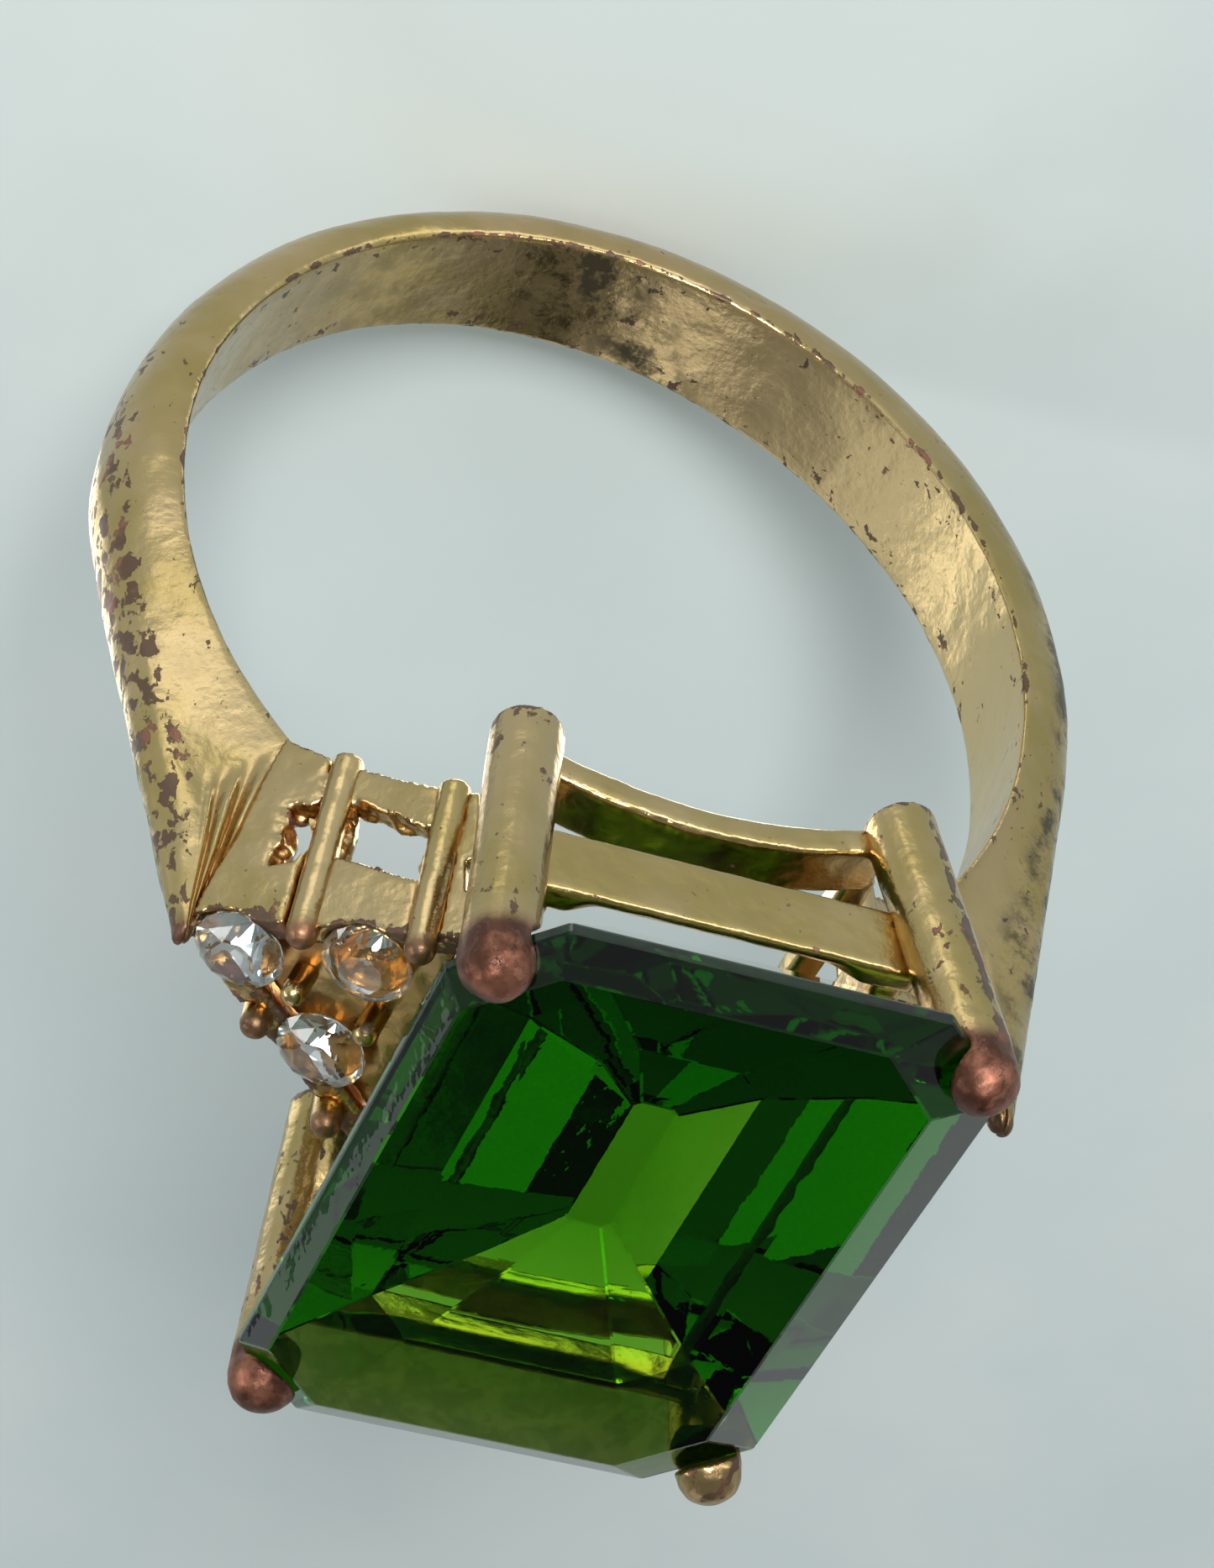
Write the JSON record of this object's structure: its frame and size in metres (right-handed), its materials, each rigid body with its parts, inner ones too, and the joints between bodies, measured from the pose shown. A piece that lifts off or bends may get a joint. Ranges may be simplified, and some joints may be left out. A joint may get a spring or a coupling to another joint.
{
  "type": "cocktail ring",
  "caption": "Finger ring with a step-cut centre stone held by claws in an open basket, cathedral shoulders and clear accent stones.",
  "frame": {"origin": "centre of the finger hole", "axes": "+Z from the finger to the centre stone, +Y along the finger, +X across the finger"},
  "size_m": [0.0204, 0.014, 0.0269],
  "materials": {
    "shank_plating": "polished pale gold plating, worn at the edges",
    "shoulder_plating": "polished pale gold plating, as cast in the recesses",
    "plate_plating": "tarnished brown in the recess",
    "bead_plating": "polished",
    "post_plating": "polished pale gold plating, worn to copper at the claws",
    "rail_plating": "polished pale gold plating",
    "green_glass": "faceted and clear",
    "clear_glass": "faceted and clear"
  },
  "bodies": {
    "root": {"accent_left_far": "clear_glass", "accent_left_near": "clear_glass", "accent_left_tip": "clear_glass", "accent_right_far": "clear_glass", "accent_right_near": "clear_glass", "accent_right_tip": "clear_glass", "bar_1_left_far": "shoulder_plating", "bar_1_left_near": "shoulder_plating", "bar_1_right_far": "shoulder_plating", "bar_1_right_near": "shoulder_plating", "bar_2_left_far": "shoulder_plating", "bar_2_left_near": "shoulder_plating", "bar_2_right_far": "shoulder_plating", "bar_2_right_near": "shoulder_plating", "bead_1_left": "bead_plating", "bead_1_right": "bead_plating", "bead_2_left": "bead_plating", "bead_2_right": "bead_plating", "centre_stone": "green_glass", "lower_rail_far": "rail_plating", "lower_rail_left": "rail_plating", "lower_rail_near": "rail_plating", "lower_rail_right": "rail_plating", "plate_left": "plate_plating", "plate_right": "plate_plating", "post_left_far": "post_plating", "post_left_near": "post_plating", "post_right_far": "post_plating", "post_right_near": "post_plating", "shank": "shank_plating", "upper_rail_far": "rail_plating", "upper_rail_left": "rail_plating", "upper_rail_near": "rail_plating", "upper_rail_right": "rail_plating", "wall_left_far": "shoulder_plating", "wall_left_near": "shoulder_plating", "wall_right_far": "shoulder_plating", "wall_right_near": "shoulder_plating"}
  },
  "joints": []
}
